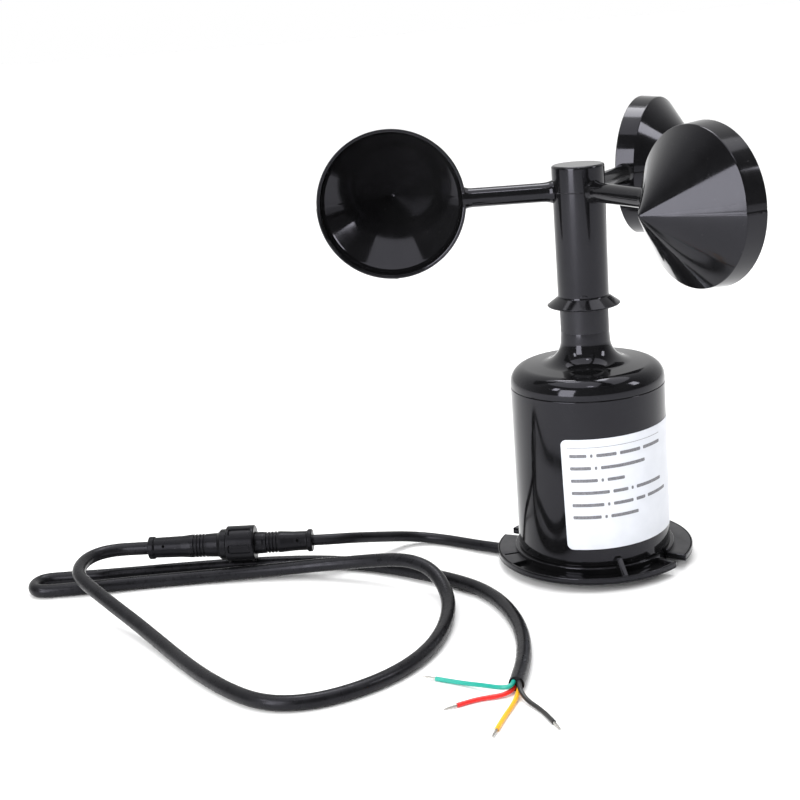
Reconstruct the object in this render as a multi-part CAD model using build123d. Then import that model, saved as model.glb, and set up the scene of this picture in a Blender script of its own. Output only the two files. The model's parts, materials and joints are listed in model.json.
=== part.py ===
from build123d import *
import os
from math import cos, pi, radians, sin, tan

# Three-cup wind speed sensor. Millimetres, +Z up. The origin is the middle of the flat underside,
# on the spindle's axis, and +X points away from the free cable.

# ---- driving dimensions ----
housing_r = 32.5
housing_wall = 2.6
housing_low = 7.8
seam_z = 78.8
fit_gap = 0.2
slip = 0.03

cap_r = 31.0
cap_top = 3.45
flange_low = 3.5
flange_top = 6.2
flange_r = 42.0
rim_in_r = 40.9
collar_r = 34.2
pocket_floor = 4.7
rib_turns = (-80.0, 100.0)
rib_width = 2.4
notch_turns = (-38.5, 148.0)
notch_span = 11.0
slit_turn = -171.0
pocket_spans = ((-155.0, -47.0), (38.0, 136.0))

screw_circle_r = 25.0
flange_screw_turns = (90.0, 210.0, 330.0)
cap_screw_turns = (30.0, 150.0, 270.0)

neck_r = 10.1
neck_top = 113.3
post_r = 7.6
post_top = 147.0
shaft_bore_r = 4.9

bearing_bore_r = 2.5
bearing_outer_r = 5.5
bearing_width = 5.0
inner_race_r = 3.4
outer_race_in_r = 4.6
ball_r = 0.79
ball_groove_r = 0.83
ball_circle_r = 4.0
ball_count = 8
lower_bearing_z = 86.0
upper_bearing_z = 141.5

hub_r = 10.8
hub_foot_r = 10.6
hub_bore_r = 8.4
hub_low = 114.0
hub_boss_z = 149.5
hub_top = 170.6
skirt_r = 15.2
skirt_low = 112.3
insert_r = 5.0
insert_top = 166.4

rotor_rest_turn = -2.1
arm_count = 3
arm_z = 160.0
arm_r = 3.95
arm_root_x = 6.2
cup_circle_r = 76.9
cup_r = 30.7
cup_band = 8.5
cup_edge_r = 30.0
cup_cone = 24.2
cup_lip_ahead = 3.9
cup_wall = 1.8

board_r = 26.5
board_low = 72.4
board_top = 74.0
pillar_circle_r = 20.0
pillar_turns = (30.0, 150.0, 270.0)
magnet_circle_r = 4.6

label_turns = (-118.0, 5.0)
label_low = 15.0
label_high = 63.4
label_skin = 0.15

lead_d = 4.8
grommet_r = 2.85
cable_d = 5.8
core_d = 1.7
connector_z = 14.6
connector_right = Vector(-122.7, 7.1, connector_z)
connector_left = Vector(-195.5, 13.0, connector_z)
nut_near = 25.4
nut_far = 37.9
nut_r = 8.0

# ---- routes of the free cords, as points of their centre lines ----
lead_route = [
    (-32.2, 5.0, 3.0), (-42.2, 10.8, 3.0), (-50.6, 17.2, 2.6), (-58.4, 23.3, 2.42), (-66.2, 28.4, 2.42),
    (-73.8, 31.2, 2.9), (-81.4, 30.0, 4.4), (-88.2, 25.4, 6.6), (-94.4, 19.9, 9.0),
    (-100.2, 14.2, 11.4), (-106.9, 9.0, 13.6), (-114.7, 6.45, 14.6), (-122.7, 7.1, 14.6),
]
cable_route = [
    (-195.5, 13.0, 14.6), (-203.0, 13.6, 14.6), (-210.4, 13.9, 14.6), (-217.3, 12.0, 14.6),
    (-222.7, 7.4, 14.6), (-225.9, 1.0, 14.6), (-226.5, -6.0, 14.3), (-224.3, -12.8, 13.5),
    (-218.5, -19.6, 12.2),
    (-210.9, -28.3, 10.3), (-202.6, -38.6, 8.0), (-193.2, -50.7, 5.7), (-182.7, -65.4, 3.8),
    (-171.3, -82.2, 2.95), (-160.6, -97.8, 2.92), (-150.4, -110.6, 2.92), (-141.2, -119.6, 2.92),
    (-132.8, -124.1, 2.92), (-124.4, -125.4, 2.92), (-116.0, -124.3, 2.92), (-107.4, -121.0, 2.92),
    (-98.5, -115.9, 2.92), (-89.7, -108.7, 2.92), (-81.4, -98.9, 2.92), (-74.4, -85.4, 2.92),
    (-69.5, -66.9, 2.92), (-67.1, -47.8, 3.7), (-68.6, -35.0, 7.0), (-72.8, -26.4, 10.3),
    (-79.4, -20.4, 11.8), (-87.0, -15.2, 11.3), (-97.4, -9.9, 9.5), (-109.0, -5.3, 7.6),
    (-122.2, -1.2, 5.9), (-135.7, 1.0, 4.6), (-151.3, 2.6, 3.7), (-169.0, 3.1, 3.1), (-186.7, 2.9, 2.92),
    (-204.3, 2.2, 2.92), (-221.0, 1.0, 2.92), (-234.6, 0.4, 2.92), (-244.9, 0.6, 2.92), (-249.0, 4.7, 2.92),
    (-249.0, 10.5, 2.92), (-244.9, 14.6, 2.92), (-234.2, 14.6, 2.92), (-220.2, 14.1, 2.92),
    (-204.6, 14.2, 2.92), (-187.6, 14.8, 2.92), (-170.2, 15.1, 2.92), (-152.6, 14.6, 2.92),
    (-134.8, 13.0, 2.92), (-117.2, 9.8, 2.92), (-100.4, 3.6, 2.92), (-85.9, -5.0, 2.92),
    (-73.4, -14.4, 2.92), (-63.0, -23.0, 2.92), (-54.4, -32.4, 2.92), (-48.0, -43.8, 2.92),
    (-43.5, -57.4, 2.92), (-40.5, -73.2, 2.92), (-39.8, -89.0, 2.92), (-41.0, -103.0, 2.92),
    (-43.3, -114.6, 2.92), (-45.6, -123.8, 2.92),
]
core_routes = {
    "core_green": [(-46.6, -123.7, 3.9), (-47.5, -127.2, 3.8), (-51.4, -126.4, 3.2), (-57.6, -120.6, 1.9),
                   (-65.6, -115.2, 0.9), (-74.0, -110.4, 0.9)],
    "core_red": [(-46.6, -123.7, 1.9), (-47.4, -126.8, 1.8), (-52.4, -128.6, 1.1), (-60.0, -128.9, 0.9),
                 (-67.4, -132.6, 0.9)],
    "core_yellow": [(-44.6, -124.2, 1.9), (-45.6, -128.6, 1.2), (-48.2, -136.0, 0.9), (-51.9, -144.2, 0.9),
                    (-55.0, -152.3, 0.9)],
    "core_black": [(-44.6, -124.2, 3.9), (-45.1, -127.8, 3.4), (-43.2, -133.6, 1.6), (-39.4, -139.4, 0.9),
                   (-37.0, -145.2, 0.9), (-35.4, -150.5, 0.9)],
}
tip_length = 5.6
tip_d = 1.2

parts = {}


# ---- helpers ----
def turned(points):
    """A solid of revolution about Z from a closed outline of (radius, height) points."""
    outline = Plane.XZ * make_face(Polyline(*points, close=True))
    return revolve(outline, axis=Axis.Z)


def ring(outer, inner, low, high):
    """An upright tube."""
    return turned([(inner, low), (outer, low), (outer, high), (inner, high)])


def rod(radius, low, high, x=0.0, y=0.0):
    """An upright cylinder at (x, y)."""
    return Pos(x, y, low) * extrude(Circle(radius), high - low)


def sector(inner, outer, first, last, low, high):
    """The part of an upright tube between two azimuths, in degrees."""
    section = Polyline((inner, low), (outer, low), (outer, high), (inner, high), close=True)
    outline = Plane.XZ * make_face(section)
    return Rot(0, 0, first) * revolve(outline, axis=Axis.Z, revolution_arc=last - first)


def around(radius, turn):
    """The (x, y) of a point at a radius and an azimuth in degrees."""
    return radius * cos(radians(turn)), radius * sin(radians(turn))


def arc_radii(points):
    """The largest comfortable arc at each corner of a route, from its two runs and its turn."""
    radii = []
    for before, corner, after in zip(points, points[1:], points[2:]):
        run_in = Vector(*corner) - Vector(*before)
        run_out = Vector(*after) - Vector(*corner)
        turn = radians(run_in.get_angle(run_out))
        radii.append(0.45 * min(run_in.length, run_out.length) / tan(turn / 2))
    return radii


def tube(name, points, diameter):
    """A cord's solid: straight runs joined by tangent arcs."""
    radii = arc_radii(points)
    path = FilletPolyline(*points, radius=radii)
    solid = sweep(Plane(path @ 0, z_dir=path % 0) * Circle(diameter / 2), path)
    ideal = pi * diameter ** 2 / 4 * path.length
    print(f"{name}: length {path.length:.0f}, smallest radius {min(radii):.1f}, volume/ideal "
          f"{solid.volume / ideal:.4f}")
    print("  radii", [round(radius, 1) for radius in radii])
    return solid


def save(name, shape):
    """Keep a piece for writing."""
    parts[name] = shape


# ---- base ----
lead_start = Vector(*lead_route[0])
lead_inward = (lead_start - Vector(*lead_route[1])).normalized()


def along_lead(radius, first, last):
    """A cylinder on the lead's entry line, from one distance inward of the base cap's wall to another."""
    begin = lead_start + lead_inward * first
    return Plane(begin, z_dir=lead_inward) * extrude(Circle(radius), last - first)


def make_base_cap():
    """The lid under the base that the sensor stands on, hollow inside and notched for the lead."""
    body = rod(cap_r, 0, cap_top)
    body = chamfer(body.edges().group_by(Axis.Z)[0], 0.4)
    body -= rod(21.0, 1.2, cap_top + 1)
    for turn in cap_screw_turns:
        x, y = around(screw_circle_r, turn)
        body -= rod(2.9, -1, 1.5, x, y)
        body -= rod(1.6, 0, cap_top + 1, x, y)
    body -= along_lead(grommet_r + 0.03, -8, 6.0)
    body -= along_lead(lead_d / 2 + 0.05, 5.0, 30)
    return body


def make_base_flange():
    """The foot flange: a disc with a low rim, two lugs, stiffening ribs and a spigot up into the housing."""
    body = rod(flange_r, flange_low, flange_top)
    body = fillet(body.edges().group_by(Axis.Z)[-1], 0.5)
    body += turned([(0, flange_low), (collar_r, flange_low), (collar_r, housing_low - 0.4),
                    (collar_r - 0.4, housing_low), (0, housing_low)])
    body += rod(housing_r - housing_wall - fit_gap, housing_low, 14.0)
    for first, last in pocket_spans:
        body -= sector(collar_r, rim_in_r, first, last, pocket_floor, flange_top + 1)
    for turn in rib_turns:
        gusset = Plane.XZ * make_face(Polyline(
            (housing_r + 0.1, pocket_floor), (rim_in_r + 0.3, pocket_floor), (rim_in_r + 0.3, flange_top),
            (housing_r + 1.0, 11.4), (housing_r + 0.1, 11.4), close=True))
        body += Rot(0, 0, turn) * extrude(gusset, rib_width / 2, both=True)
    for turn in notch_turns:
        body -= sector(housing_r + 0.1, flange_r + 2, turn - notch_span / 2, turn + notch_span / 2,
                       flange_low - 1, housing_low + 1)
    slit = make_face(Polyline((collar_r, -0.9), (40.2, -0.1), (40.2, 0.1), (collar_r, 0.9), close=True))
    body -= Rot(0, 0, slit_turn) * Pos(0, 0, flange_low - 1) * extrude(slit, flange_top)
    body -= rod(28.0, housing_low, 15)
    body -= rod(22.0, flange_low - 1, housing_low + 1)
    for turn in flange_screw_turns:
        x, y = around(screw_circle_r, turn)
        body -= rod(2.9, flange_low - 1, flange_low + 1.6, x, y)
        body -= rod(1.6, flange_low, housing_low + 1, x, y)
    for turn in cap_screw_turns:
        x, y = around(screw_circle_r, turn)
        body += rod(2.8, housing_low - 0.5, 13.5, x, y)
        body -= rod(1.42, flange_low - 1, 12.5, x, y)
    body -= along_lead(grommet_r + 0.03, -2.0, 6.0)
    body -= along_lead(lead_d / 2 + 0.1, -14, 40)
    return body


def make_screws(turns, head_low, head_r, head_high, tip):
    """Pan-head self-tapping screws from below, as one group of separate solids."""
    screws = []
    for turn in turns:
        x, y = around(screw_circle_r, turn)
        screw = rod(head_r, head_low, head_high, x, y) + rod(1.38, head_high, tip, x, y)
        screw -= Pos(x, y, head_low) * Box(3.4, 0.7, 1.4)
        screw -= Pos(x, y, head_low) * Box(0.7, 3.4, 1.4)
        screws.append(screw)
    return Compound(children=screws)


def make_housing():
    """The plain cylinder round the circuit, with three screw columns inside."""
    body = ring(housing_r, housing_r - housing_wall, housing_low + 0.02, seam_z - 0.02)
    body = chamfer(body.edges().filter_by(GeomType.CIRCLE).sort_by(Axis.Z)[0:2], 0.3)
    for turn in flange_screw_turns:
        x, y = around(screw_circle_r, turn)
        column = rod(2.7, housing_low + 0.1, 30, x, y)
        web = Rot(0, 0, turn) * Pos((screw_circle_r + housing_r - 1) / 2, 0, 22.2) * Box(
            housing_r - 1 - screw_circle_r, 2.4, 15.6)
        body += column + web
        body -= rod(1.42, housing_low - 1, 18, x, y)
    return body


def make_label():
    """The sticker wrapped on the housing."""
    return sector(housing_r + 0.02, housing_r + 0.02 + label_skin, label_turns[0], label_turns[1],
                  label_low, label_high)


# ---- top cover ----
def make_top_cover():
    """Domed cover, neck and bearing post in one moulding, with a spigot down into the housing."""
    shoulder = ThreePointArc((housing_r, 80.5), (30.9, 84.95), (26.0, 87.45))
    top = Line((26.0, 87.45), (19.5, 87.9))
    sweep_up = ThreePointArc((19.5, 87.9), (12.9, 91.15), (10.4, 98.0))
    shell = Polyline(
        (10.4, 98.0), (neck_r, 101.5), (neck_r, neck_top - 0.4), (neck_r - 0.4, neck_top),
        (post_r, neck_top), (post_r, post_top), (bearing_outer_r, post_top),
        (bearing_outer_r, upper_bearing_z),
        (shaft_bore_r, upper_bearing_z), (shaft_bore_r, lower_bearing_z + bearing_width),
        (bearing_outer_r, lower_bearing_z + bearing_width), (bearing_outer_r, 83.0), (8.6, 83.0),
        (8.6, 85.4), (26.0, 85.0), (27.6, 83.0), (27.6, 72.8), (29.7, 72.8), (29.7, 75.0), (28.4, 75.0),
        (28.4, 76.6), (29.7, 76.6), (29.7, seam_z), (housing_r, seam_z), (housing_r, 80.5))
    body = revolve(Plane.XZ * make_face(shoulder + top + sweep_up + shell), axis=Axis.Z)
    for turn in pillar_turns:
        x, y = around(pillar_circle_r, turn)
        body += rod(3.0, board_top + 0.02, 86.0, x, y)
        body -= rod(1.0, board_top - 1, 82.0, x, y)
    return body


def make_cover_seal():
    """The O-ring in the cover's spigot."""
    return Pos(0, 0, 75.8) * Torus(29.13, 0.7)


# ---- bearings and spindle ----
def make_bearing(name, low):
    """A deep-groove ball bearing as inner race, outer race, balls and ball cage."""
    middle = low + bearing_width / 2
    groove = Pos(0, 0, middle) * Torus(ball_circle_r, ball_groove_r)
    high = low + bearing_width
    save(name + "_inner_race", ring(inner_race_r, bearing_bore_r + slip, low, high) - groove)
    save(name + "_outer_race", ring(bearing_outer_r - slip, outer_race_in_r, low, high) - groove)
    balls = []
    cage = ring(4.3, 3.7, middle - 1.2, middle + 1.2)
    for index in range(ball_count):
        x, y = around(ball_circle_r, index * 360 / ball_count)
        balls.append(Pos(x, y, middle) * Sphere(ball_r))
        cage -= Plane((0, 0, middle), z_dir=(x, y, 0)) * extrude(Circle(ball_r + 0.06), 6)
    save(name + "_balls", Compound(children=balls))
    save(name + "_cage", cage)


def make_spindle():
    """The steel shaft, thicker between the two bearings, with a groove for the clip."""
    shoulder_low = lower_bearing_z + bearing_width + 0.02
    shoulder_high = upper_bearing_z - 0.02
    return turned([(0, 80.6), (2.2, 80.6), (bearing_bore_r, 80.9), (bearing_bore_r, 85.1), (2.1, 85.1),
                   (2.1, 85.8), (bearing_bore_r, 85.8), (bearing_bore_r, shoulder_low), (3.0, shoulder_low),
                   (3.0, shoulder_high), (bearing_bore_r, shoulder_high), (bearing_bore_r, 165.4),
                   (2.2, 165.7), (0, 165.7)])


def make_spindle_clip():
    """The E-shaped clip that keeps the spindle up in its bearings."""
    clip = ring(4.2, 2.1 + slip, 85.14, 85.74)
    return clip - Pos(4, 0, 85.4) * Box(6, 2.6, 2)


def make_hub_insert():
    """The brass bush moulded into the rotor and pressed on the spindle."""
    return turned([(bearing_bore_r + slip, upper_bearing_z + bearing_width + 0.03),
                   (3.3, upper_bearing_z + bearing_width + 0.03), (3.3, hub_boss_z + slip),
                   (insert_r - slip, hub_boss_z + slip), (insert_r - slip, insert_top - slip),
                   (bearing_bore_r + slip, insert_top - slip)])


def make_magnet_holder():
    """The plastic disc on the spindle's lower end that carries the magnets."""
    body = rod(7.2, 78.0, 82.4) - rod(bearing_bore_r + slip, 80.55, 83)
    for turn in (0, 180):
        x, y = around(magnet_circle_r, turn)
        body -= rod(2.03, 77, 80.05, x, y)
    return body


def make_magnets():
    """Two small disc magnets that pass over the sensor."""
    return Compound(children=[rod(2.0, 78.0, 80.0, *around(magnet_circle_r, turn)) for turn in (0, 180)])


# ---- rotor ----
def arm_direction(index):
    """Unit vector along an arm, from the spindle outward."""
    turn = radians(180 + rotor_rest_turn + index * 360 / arm_count)
    return Vector(cos(turn), sin(turn), 0)


def cup_plane(index):
    """A cup's own frame on the arm's line: Z out of the mouth, X outward along the arm."""
    outward = arm_direction(index)
    mouth = Vector(-outward.Y, outward.X, 0)
    return Plane(outward * cup_circle_r + Vector(0, 0, arm_z), x_dir=outward, z_dir=mouth)


def cup_outer(extra=0.0):
    """The filled outer shape of a cup, grown by a little where asked."""
    lip = cup_lip_ahead + extra
    edge = cup_lip_ahead - cup_band
    return turned([(0, edge - cup_cone - extra), (0.8, edge - cup_cone + 0.25 - extra),
                   (cup_edge_r + extra, edge), (cup_r + extra, lip), (0, lip)])


def make_cup(index):
    """A conical cup with a short band at its mouth."""
    edge = cup_lip_ahead - cup_band
    step = cup_lip_ahead - 1.0
    hollow = turned([(0, edge - cup_cone + 2.3), (cup_edge_r - cup_wall, edge + 0.3),
                     (cup_r - cup_wall - 0.2, step), (cup_r - cup_wall + 0.6, step),
                     (cup_r - cup_wall + 0.6, cup_lip_ahead + 0.01), (0, cup_lip_ahead + 0.01)])
    return cup_plane(index) * (cup_outer() - hollow)


def make_arm(index):
    """A round arm from a socket in the hub to the side of its cup, a little thicker at its root."""
    outward = arm_direction(index)
    stem = turned([(0, arm_root_x), (arm_r, arm_root_x), (arm_r, hub_r - 0.2), (arm_r + 0.7, hub_r + 0.05),
                   (arm_r + 0.2, hub_r + 1.4), (arm_r, hub_r + 3.2), (arm_r, cup_circle_r - cup_r + 3),
                   (0, cup_circle_r - cup_r + 3)])
    placed = Plane((0, 0, arm_z), z_dir=outward) * stem
    placed -= cup_plane(index) * cup_outer(0.05)
    socket_mouth = Plane((0, 0, arm_z), z_dir=outward) * rod(arm_r, hub_r - 3, hub_r + 3)
    return placed - (ring(hub_r + 0.03, hub_r - 0.6, arm_z - 9, arm_z + 9) - socket_mouth)


def make_rotor_hub():
    """The rotor's sleeve: closed top, drip skirt at its foot and three arm sockets."""
    body = turned([
        (hub_bore_r, hub_low), (12.1, hub_low), (14.3, skirt_low), (skirt_r - 0.3, skirt_low),
        (skirt_r, skirt_low + 0.3), (hub_foot_r + 0.2, 116.0), (hub_foot_r, 116.6), (hub_r, 150.0),
        (hub_r, hub_top - 1.2), (hub_r - 0.35, hub_top - 0.35), (hub_r - 1.2, hub_top), (0, hub_top),
        (0, insert_top), (insert_r, insert_top), (insert_r, hub_boss_z), (hub_bore_r, hub_boss_z)])
    for index in range(arm_count):
        socket = Plane((0, 0, arm_z), z_dir=arm_direction(index)) * Pos(0, 0, arm_root_x - 0.05)
        body -= socket * extrude(Circle(arm_r + 0.04), 8)
    return body


# ---- circuit ----
def make_circuit_board():
    """The round circuit board, screwed to the cover's pillars."""
    body = rod(board_r, board_low, board_top)
    for turn in pillar_turns:
        body -= rod(1.3, board_low - 1, board_top + 1, *around(pillar_circle_r, turn))
    return body


def make_board_screws():
    """Three small screws from below into the pillars."""
    screws = []
    for turn in pillar_turns:
        x, y = around(pillar_circle_r, turn)
        head = rod(2.2, board_low - 1.6, board_low - 0.02, x, y)
        screws.append(head + rod(0.97, board_low - 0.1, 80.0, x, y))
    return Compound(children=screws)


def on_board(length, width, height, x, y):
    """A component standing on top of the board."""
    return Pos(x, y, board_top + 0.02 + height / 2) * Box(length, width, height)


def make_hall_sensor():
    """The magnetic switch under the magnets' circle, with three legs."""
    body = on_board(3.0, 4.2, 1.5, magnet_circle_r, 0)
    for y in (-1.27, 0, 1.27):
        body += on_board(2.6, 0.45, 0.4, magnet_circle_r + 2.6, y)
    return body


def make_board_chip():
    """The signal chip with its two rows of legs."""
    body = on_board(5.0, 4.0, 1.5, -12, 6)
    for side in (-1, 1):
        for step in range(4):
            body += on_board(0.45, 1.4, 0.5, -13.9 + step * 1.27, 6 + side * 2.6)
    return body


def make_board_small_parts():
    """Capacitors, a regulator and resistors, as a group."""
    pieces = [rod(3.1, board_top + 0.02, 80.5, 11, -14), on_board(6.5, 6.0, 2.3, -4, 17)]
    for step in range(5):
        pieces.append(on_board(1.2, 2.0, 0.6, 10.5 + step * 2.4, -4.5))
    return Compound(children=pieces)


# ---- lead inside the base ----
def make_lead_grommet():
    """The rubber sleeve round the lead in the cap's wall."""
    return along_lead(grommet_r, 0.05, 5.95) - along_lead(lead_d / 2 + 0.02, -1, 8)


def make_lead_tail():
    """The lead's jacket inside the base."""
    return along_lead(lead_d / 2, 0.02, 15.0)


def make_inner_wires():
    """The lead's four cores from the end of its jacket up to the board."""
    start = lead_start + lead_inward * 15.1
    wires = []
    for side, rise in ((-1, -0.8), (1, -0.8), (-1, 0.8), (1, 0.8)):
        first = start + Vector(0.35 * side, 0.75 * side, rise)
        bend = first + lead_inward * 6.0
        points = [tuple(first), tuple(bend), (bend.X + 2.5, bend.Y - 1.0, 11.0 + rise),
                  (bend.X + 3.0, bend.Y - 1.5, 28.0), (bend.X + 2.2, bend.Y - 1.0, 50.0),
                  (bend.X + 2.0, bend.Y - 1.0, board_low - 0.05)]
        wires.append(tube("inner_wire", points, 1.1))
    return Compound(children=wires)


# ---- connector, in its own frame: Z runs from the sensor's half to the cable's half ----
connector_line = connector_left - connector_right
connector_length = connector_line.length
connector_plane = Plane(connector_right, x_dir=(0, 0, 1), z_dir=connector_line.normalized())


def boot_grooves(body, first, radius):
    """Four flexing grooves round a boot."""
    for step in range(4):
        low = first + step * 1.5
        body -= ring(radius + 1, radius - 0.55, low, low + 0.7)
    return body


def make_lead_socket():
    """The sensor's half: boot moulded on the lead, shoulder and nose."""
    body = turned([(0, 0.02), (4.6, 0.02), (4.95, 0.4), (4.95, 1.8), (4.2, 2.3), (4.25, 8.0),
                   (4.65, 14.0), (4.65, 21.4), (4.8, 22.2), (4.8, 27.5), (6.1, 27.5), (6.1, 29.0),
                   (4.6, 29.0), (4.6, 36.4), (0, 36.4)])
    body = boot_grooves(body, 15.2, 4.65)
    for x, y in pin_places():
        body -= rod(0.87, 29.8, 37, x, y)
    return connector_plane * body


def make_plug_body():
    """The cable's half: boot, collar and threaded spigot round the nose."""
    low = 29.6
    end = connector_length - 0.02
    body = turned([(4.8, low), (5.9, low), (6.2, low + 0.4), (6.2, 37.9), (6.75, 38.0), (6.75, 40.4),
                   (5.3, 42.0), (5.1, 46.4), (5.1, 54.0), (4.7, 58.0), (4.5, 70.2), (5.0, 70.9),
                   (5.0, end), (0, end), (0, 37.6), (4.8, 37.6)])
    body = boot_grooves(body, 47.5, 5.1)
    for x, y in pin_places():
        body -= rod(0.52, 37, 41.1, x, y)
    return connector_plane * body


def pin_places():
    """Four contacts on a small circle."""
    return [around(2.3, 45 + 90 * index) for index in range(4)]


def make_plug_pins():
    """The cable half's four brass pins."""
    pins = [rod(0.5, 31.4, 41.0, x, y) for x, y in pin_places()]
    return connector_plane * Compound(children=pins)


def make_socket_contacts():
    """The sensor half's four contact sleeves."""
    sleeves = [rod(0.84, 29.9, 36.2, x, y) - rod(0.55, 30.4, 37, x, y) for x, y in pin_places()]
    return connector_plane * Compound(children=sleeves)


def make_connector_seal():
    """The flat ring seal between the two halves."""
    return connector_plane * ring(6.0, 4.7, 29.05, 29.55)


def make_coupling_nut():
    """The nut, held behind the shoulder, that pulls the halves together, with grip flats."""
    body = turned([(5.0, nut_near), (nut_r - 0.6, nut_near), (nut_r, nut_near + 0.6), (nut_r, nut_far - 0.6),
                   (nut_r - 0.5, nut_far), (6.45, nut_far), (6.45, 27.2), (5.0, 27.2)])
    for index in range(6):
        slot = Pos(nut_r + 0.05, 0, (nut_near + nut_far) / 2) * Box(1.2, 3.8, nut_far - nut_near - 3.0)
        body -= Rot(0, 0, index * 60 + 31) * slot
    return connector_plane * body


# ---- cores ----
def make_core_tips():
    """The tinned bare end of each core."""
    tips = []
    for points in core_routes.values():
        end = Vector(*points[-1])
        ahead = end - Vector(*points[-2])
        ahead = Vector(ahead.X, ahead.Y, 0).normalized()
        tips.append(Plane(end + ahead * 0.02, z_dir=ahead) * extrude(Circle(tip_d / 2), tip_length))
    return Compound(children=tips)


# ---- build and write ----
save("base_cap", make_base_cap())
save("base_flange", make_base_flange())
save("cap_screws", make_screws(cap_screw_turns, 0.1, 2.7, 1.45, 11.5))
save("flange_screws", make_screws(flange_screw_turns, 3.75, 2.7, 5.05, 17.0))
save("housing", make_housing())
save("label", make_label())
save("top_cover", make_top_cover())
save("cover_seal", make_cover_seal())
make_bearing("lower_bearing", lower_bearing_z)
make_bearing("upper_bearing", upper_bearing_z)
save("spindle", make_spindle())
save("spindle_clip", make_spindle_clip())
save("hub_insert", make_hub_insert())
save("magnet_holder", make_magnet_holder())
save("magnets", make_magnets())
save("rotor_hub", make_rotor_hub())
for number in range(arm_count):
    save(f"rotor_arm_{number + 1}", make_arm(number))
    save(f"rotor_cup_{number + 1}", make_cup(number))
save("circuit_board", make_circuit_board())
save("board_screws", make_board_screws())
save("hall_sensor", make_hall_sensor())
save("board_chip", make_board_chip())
save("board_small_parts", make_board_small_parts())
save("lead_grommet", make_lead_grommet())
save("lead_tail", make_lead_tail())
save("inner_wires", make_inner_wires())
save("sensor_lead", tube("sensor_lead", lead_route, lead_d))
save("lead_socket", make_lead_socket())
save("plug_body", make_plug_body())
save("plug_pins", make_plug_pins())
save("socket_contacts", make_socket_contacts())
save("connector_seal", make_connector_seal())
save("coupling_nut", make_coupling_nut())
save("extension_cable", tube("extension_cable", cable_route, cable_d))
for core_name, core_points in core_routes.items():
    save(core_name, tube(core_name, core_points, core_d))
save("core_tips", make_core_tips())

os.makedirs("parts", exist_ok=True)
for part_name, shape in parts.items():
    export_step(shape, f"parts/{part_name}.step")
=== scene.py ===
import bpy
import bmesh
import json
import math
from mathutils import Matrix, Vector


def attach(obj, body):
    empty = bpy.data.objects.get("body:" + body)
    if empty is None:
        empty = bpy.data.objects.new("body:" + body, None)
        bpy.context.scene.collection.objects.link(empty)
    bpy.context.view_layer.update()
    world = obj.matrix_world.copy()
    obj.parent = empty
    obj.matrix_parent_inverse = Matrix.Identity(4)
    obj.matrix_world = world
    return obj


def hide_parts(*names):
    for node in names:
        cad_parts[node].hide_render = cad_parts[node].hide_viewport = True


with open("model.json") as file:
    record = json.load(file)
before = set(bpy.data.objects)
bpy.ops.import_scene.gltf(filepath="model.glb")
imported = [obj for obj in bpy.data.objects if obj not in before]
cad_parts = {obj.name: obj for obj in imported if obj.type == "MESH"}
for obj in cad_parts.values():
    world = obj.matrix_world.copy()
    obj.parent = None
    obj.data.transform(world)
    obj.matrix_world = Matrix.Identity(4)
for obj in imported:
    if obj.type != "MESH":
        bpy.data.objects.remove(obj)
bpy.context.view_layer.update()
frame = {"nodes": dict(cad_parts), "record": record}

MM = 0.001

# ---- driving dimensions, in millimetres ----
body_radius = 32.5
label_radius = 32.52
foot_radius = 42.0
collar_radius = 34.2
neck_radius = 10.1
screw_circle = 25
foot_floor = 3.5
arm_height = 160.0
arm_radius = 3.95
hub_top = 170.6
cup_circle = 76.9
cup_radius = 30.7
nut_radius = 8.0


# ---- camera ----
camera_pitch, camera_roll, camera_yaw = 15.256, -4.533, 0.307
camera_place = (-76.378, -606.512, 242.511)
camera_lens = 66.745


def add_camera():
    """The viewing angle: slightly above, from the front, with a small roll."""
    pitch, roll, yaw = math.radians(camera_pitch), math.radians(camera_roll), math.radians(camera_yaw)
    ahead = Vector((-math.sin(yaw) * math.cos(pitch), math.cos(yaw) * math.cos(pitch), -math.sin(pitch)))
    right = Vector((math.cos(yaw), math.sin(yaw), 0))
    up = right.cross(ahead)
    x_axis = math.cos(roll) * right + math.sin(roll) * up
    y_axis = -math.sin(roll) * right + math.cos(roll) * up
    rows = Matrix((x_axis, y_axis, -ahead)).transposed().to_4x4()
    rows.translation = Vector(camera_place) * MM
    data = bpy.data.cameras.new("camera")
    data.lens = camera_lens
    data.sensor_width = 36
    data.clip_start = 0.01
    data.clip_end = 50
    camera = bpy.data.objects.new("camera", data)
    camera.matrix_world = rows
    bpy.context.scene.collection.objects.link(camera)
    bpy.context.scene.camera = camera


add_camera()
bpy.context.scene.view_settings.view_transform = "Standard"


# ---- materials ----
black_tint = (0.88, 0.87, 1.0, 1)


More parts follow.
